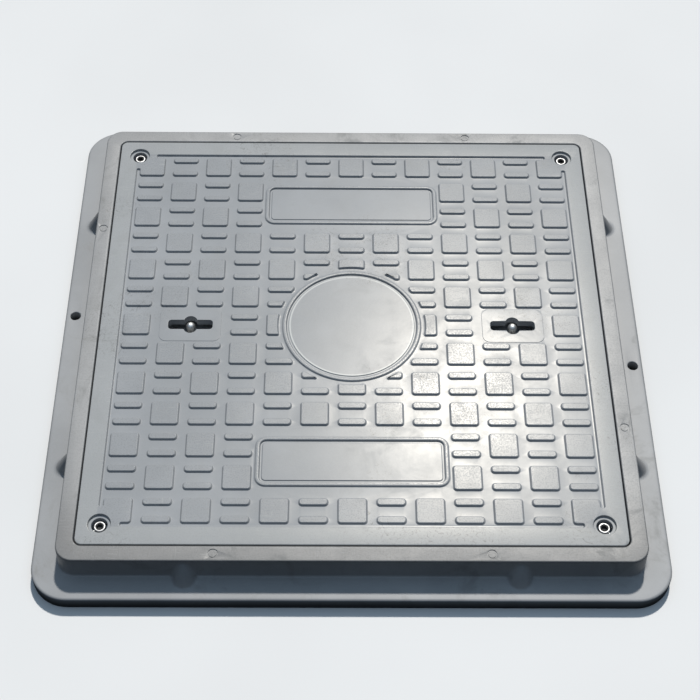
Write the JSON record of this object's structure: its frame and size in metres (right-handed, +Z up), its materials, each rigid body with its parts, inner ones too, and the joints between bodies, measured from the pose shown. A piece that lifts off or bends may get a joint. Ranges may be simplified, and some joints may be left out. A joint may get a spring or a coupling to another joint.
{
  "type": "manhole cover",
  "caption": "Square moulded access cover with a raised tread pattern, seated in a flanged frame and locked by corner bolts.",
  "frame": {"origin": "middle of the frame's underside, which is the bottom centre of the whole part's box", "axes": "+Z up out of the ground, through the cover; +X towards the right lifting point; +Y towards the rear edge"},
  "size_m": [0.7, 0.7, 0.05],
  "materials": {
    "cover_composite": "semi-gloss moulded glass-fibre composite, blue-grey",
    "frame_composite": "satin moulded glass-fibre composite, grey",
    "bolt_steel": "stainless, turned",
    "pin_steel": "polished stainless",
    "insert_brass": "machined brass",
    "socket_plastic": "dark moulded plastic",
    "gasket_rubber": "matt black rubber"
  },
  "bodies": {
    "frame": {"frame": "frame_composite", "seat_gasket": "gasket_rubber", "threaded_insert_front_left": "insert_brass", "threaded_insert_front_right": "insert_brass", "threaded_insert_rear_left": "insert_brass", "threaded_insert_rear_right": "insert_brass"},
    "cover": {"cover": "cover_composite", "key_socket_left": "socket_plastic", "key_socket_right": "socket_plastic", "key_socket_screws": "bolt_steel", "pilot_pin_left": "pin_steel", "pilot_pin_right": "pin_steel", "pilot_pin_nut_left": "bolt_steel", "pilot_pin_nut_right": "bolt_steel"},
    "washer_front_left": {"bolt_washer_front_left": "bolt_steel"},
    "bolt_front_left": {"lock_bolt_front_left": "bolt_steel"},
    "washer_front_right": {"bolt_washer_front_right": "bolt_steel"},
    "bolt_front_right": {"lock_bolt_front_right": "bolt_steel"},
    "washer_rear_left": {"bolt_washer_rear_left": "bolt_steel"},
    "bolt_rear_left": {"lock_bolt_rear_left": "bolt_steel"},
    "washer_rear_right": {"bolt_washer_rear_right": "bolt_steel"},
    "bolt_rear_right": {"lock_bolt_rear_right": "bolt_steel"}
  },
  "joints": [
    {"name": "cover_lift", "type": "slide", "parent": "frame", "child": "cover", "axis": [0, 0, 1], "range_m": [0, 0.12]},
    {"name": "bolt_rise_front_left", "type": "slide", "parent": "cover", "child": "washer_front_left", "axis": [0, 0, 1], "range_m": [0, 0.01062]},
    {"name": "bolt_turn_front_left", "type": "hinge", "parent": "washer_front_left", "child": "bolt_front_left", "pos_m": [-0.275, -0.275, 0.04], "axis": [0, 0, 1], "range_deg": [0, 3060]},
    {"name": "bolt_rise_front_right", "type": "slide", "parent": "cover", "child": "washer_front_right", "axis": [0, 0, 1], "range_m": [0, 0.01062]},
    {"name": "bolt_turn_front_right", "type": "hinge", "parent": "washer_front_right", "child": "bolt_front_right", "pos_m": [0.275, -0.275, 0.04], "axis": [0, 0, 1], "range_deg": [0, 3060]},
    {"name": "bolt_rise_rear_left", "type": "slide", "parent": "cover", "child": "washer_rear_left", "axis": [0, 0, 1], "range_m": [0, 0.01062]},
    {"name": "bolt_turn_rear_left", "type": "hinge", "parent": "washer_rear_left", "child": "bolt_rear_left", "pos_m": [-0.275, 0.275, 0.04], "axis": [0, 0, 1], "range_deg": [0, 3060]},
    {"name": "bolt_rise_rear_right", "type": "slide", "parent": "cover", "child": "washer_rear_right", "axis": [0, 0, 1], "range_m": [0, 0.01062]},
    {"name": "bolt_turn_rear_right", "type": "hinge", "parent": "washer_rear_right", "child": "bolt_rear_right", "pos_m": [0.275, 0.275, 0.04], "axis": [0, 0, 1], "range_deg": [0, 3060]}
  ],
  "couplings": [
    {"joint": "bolt_turn_front_left", "follows": "bolt_rise_front_left", "rad_per_m": 5026.5},
    {"joint": "bolt_turn_front_right", "follows": "bolt_rise_front_right", "rad_per_m": 5026.5},
    {"joint": "bolt_turn_rear_left", "follows": "bolt_rise_rear_left", "rad_per_m": 5026.5},
    {"joint": "bolt_turn_rear_right", "follows": "bolt_rise_rear_right", "rad_per_m": 5026.5}
  ]
}
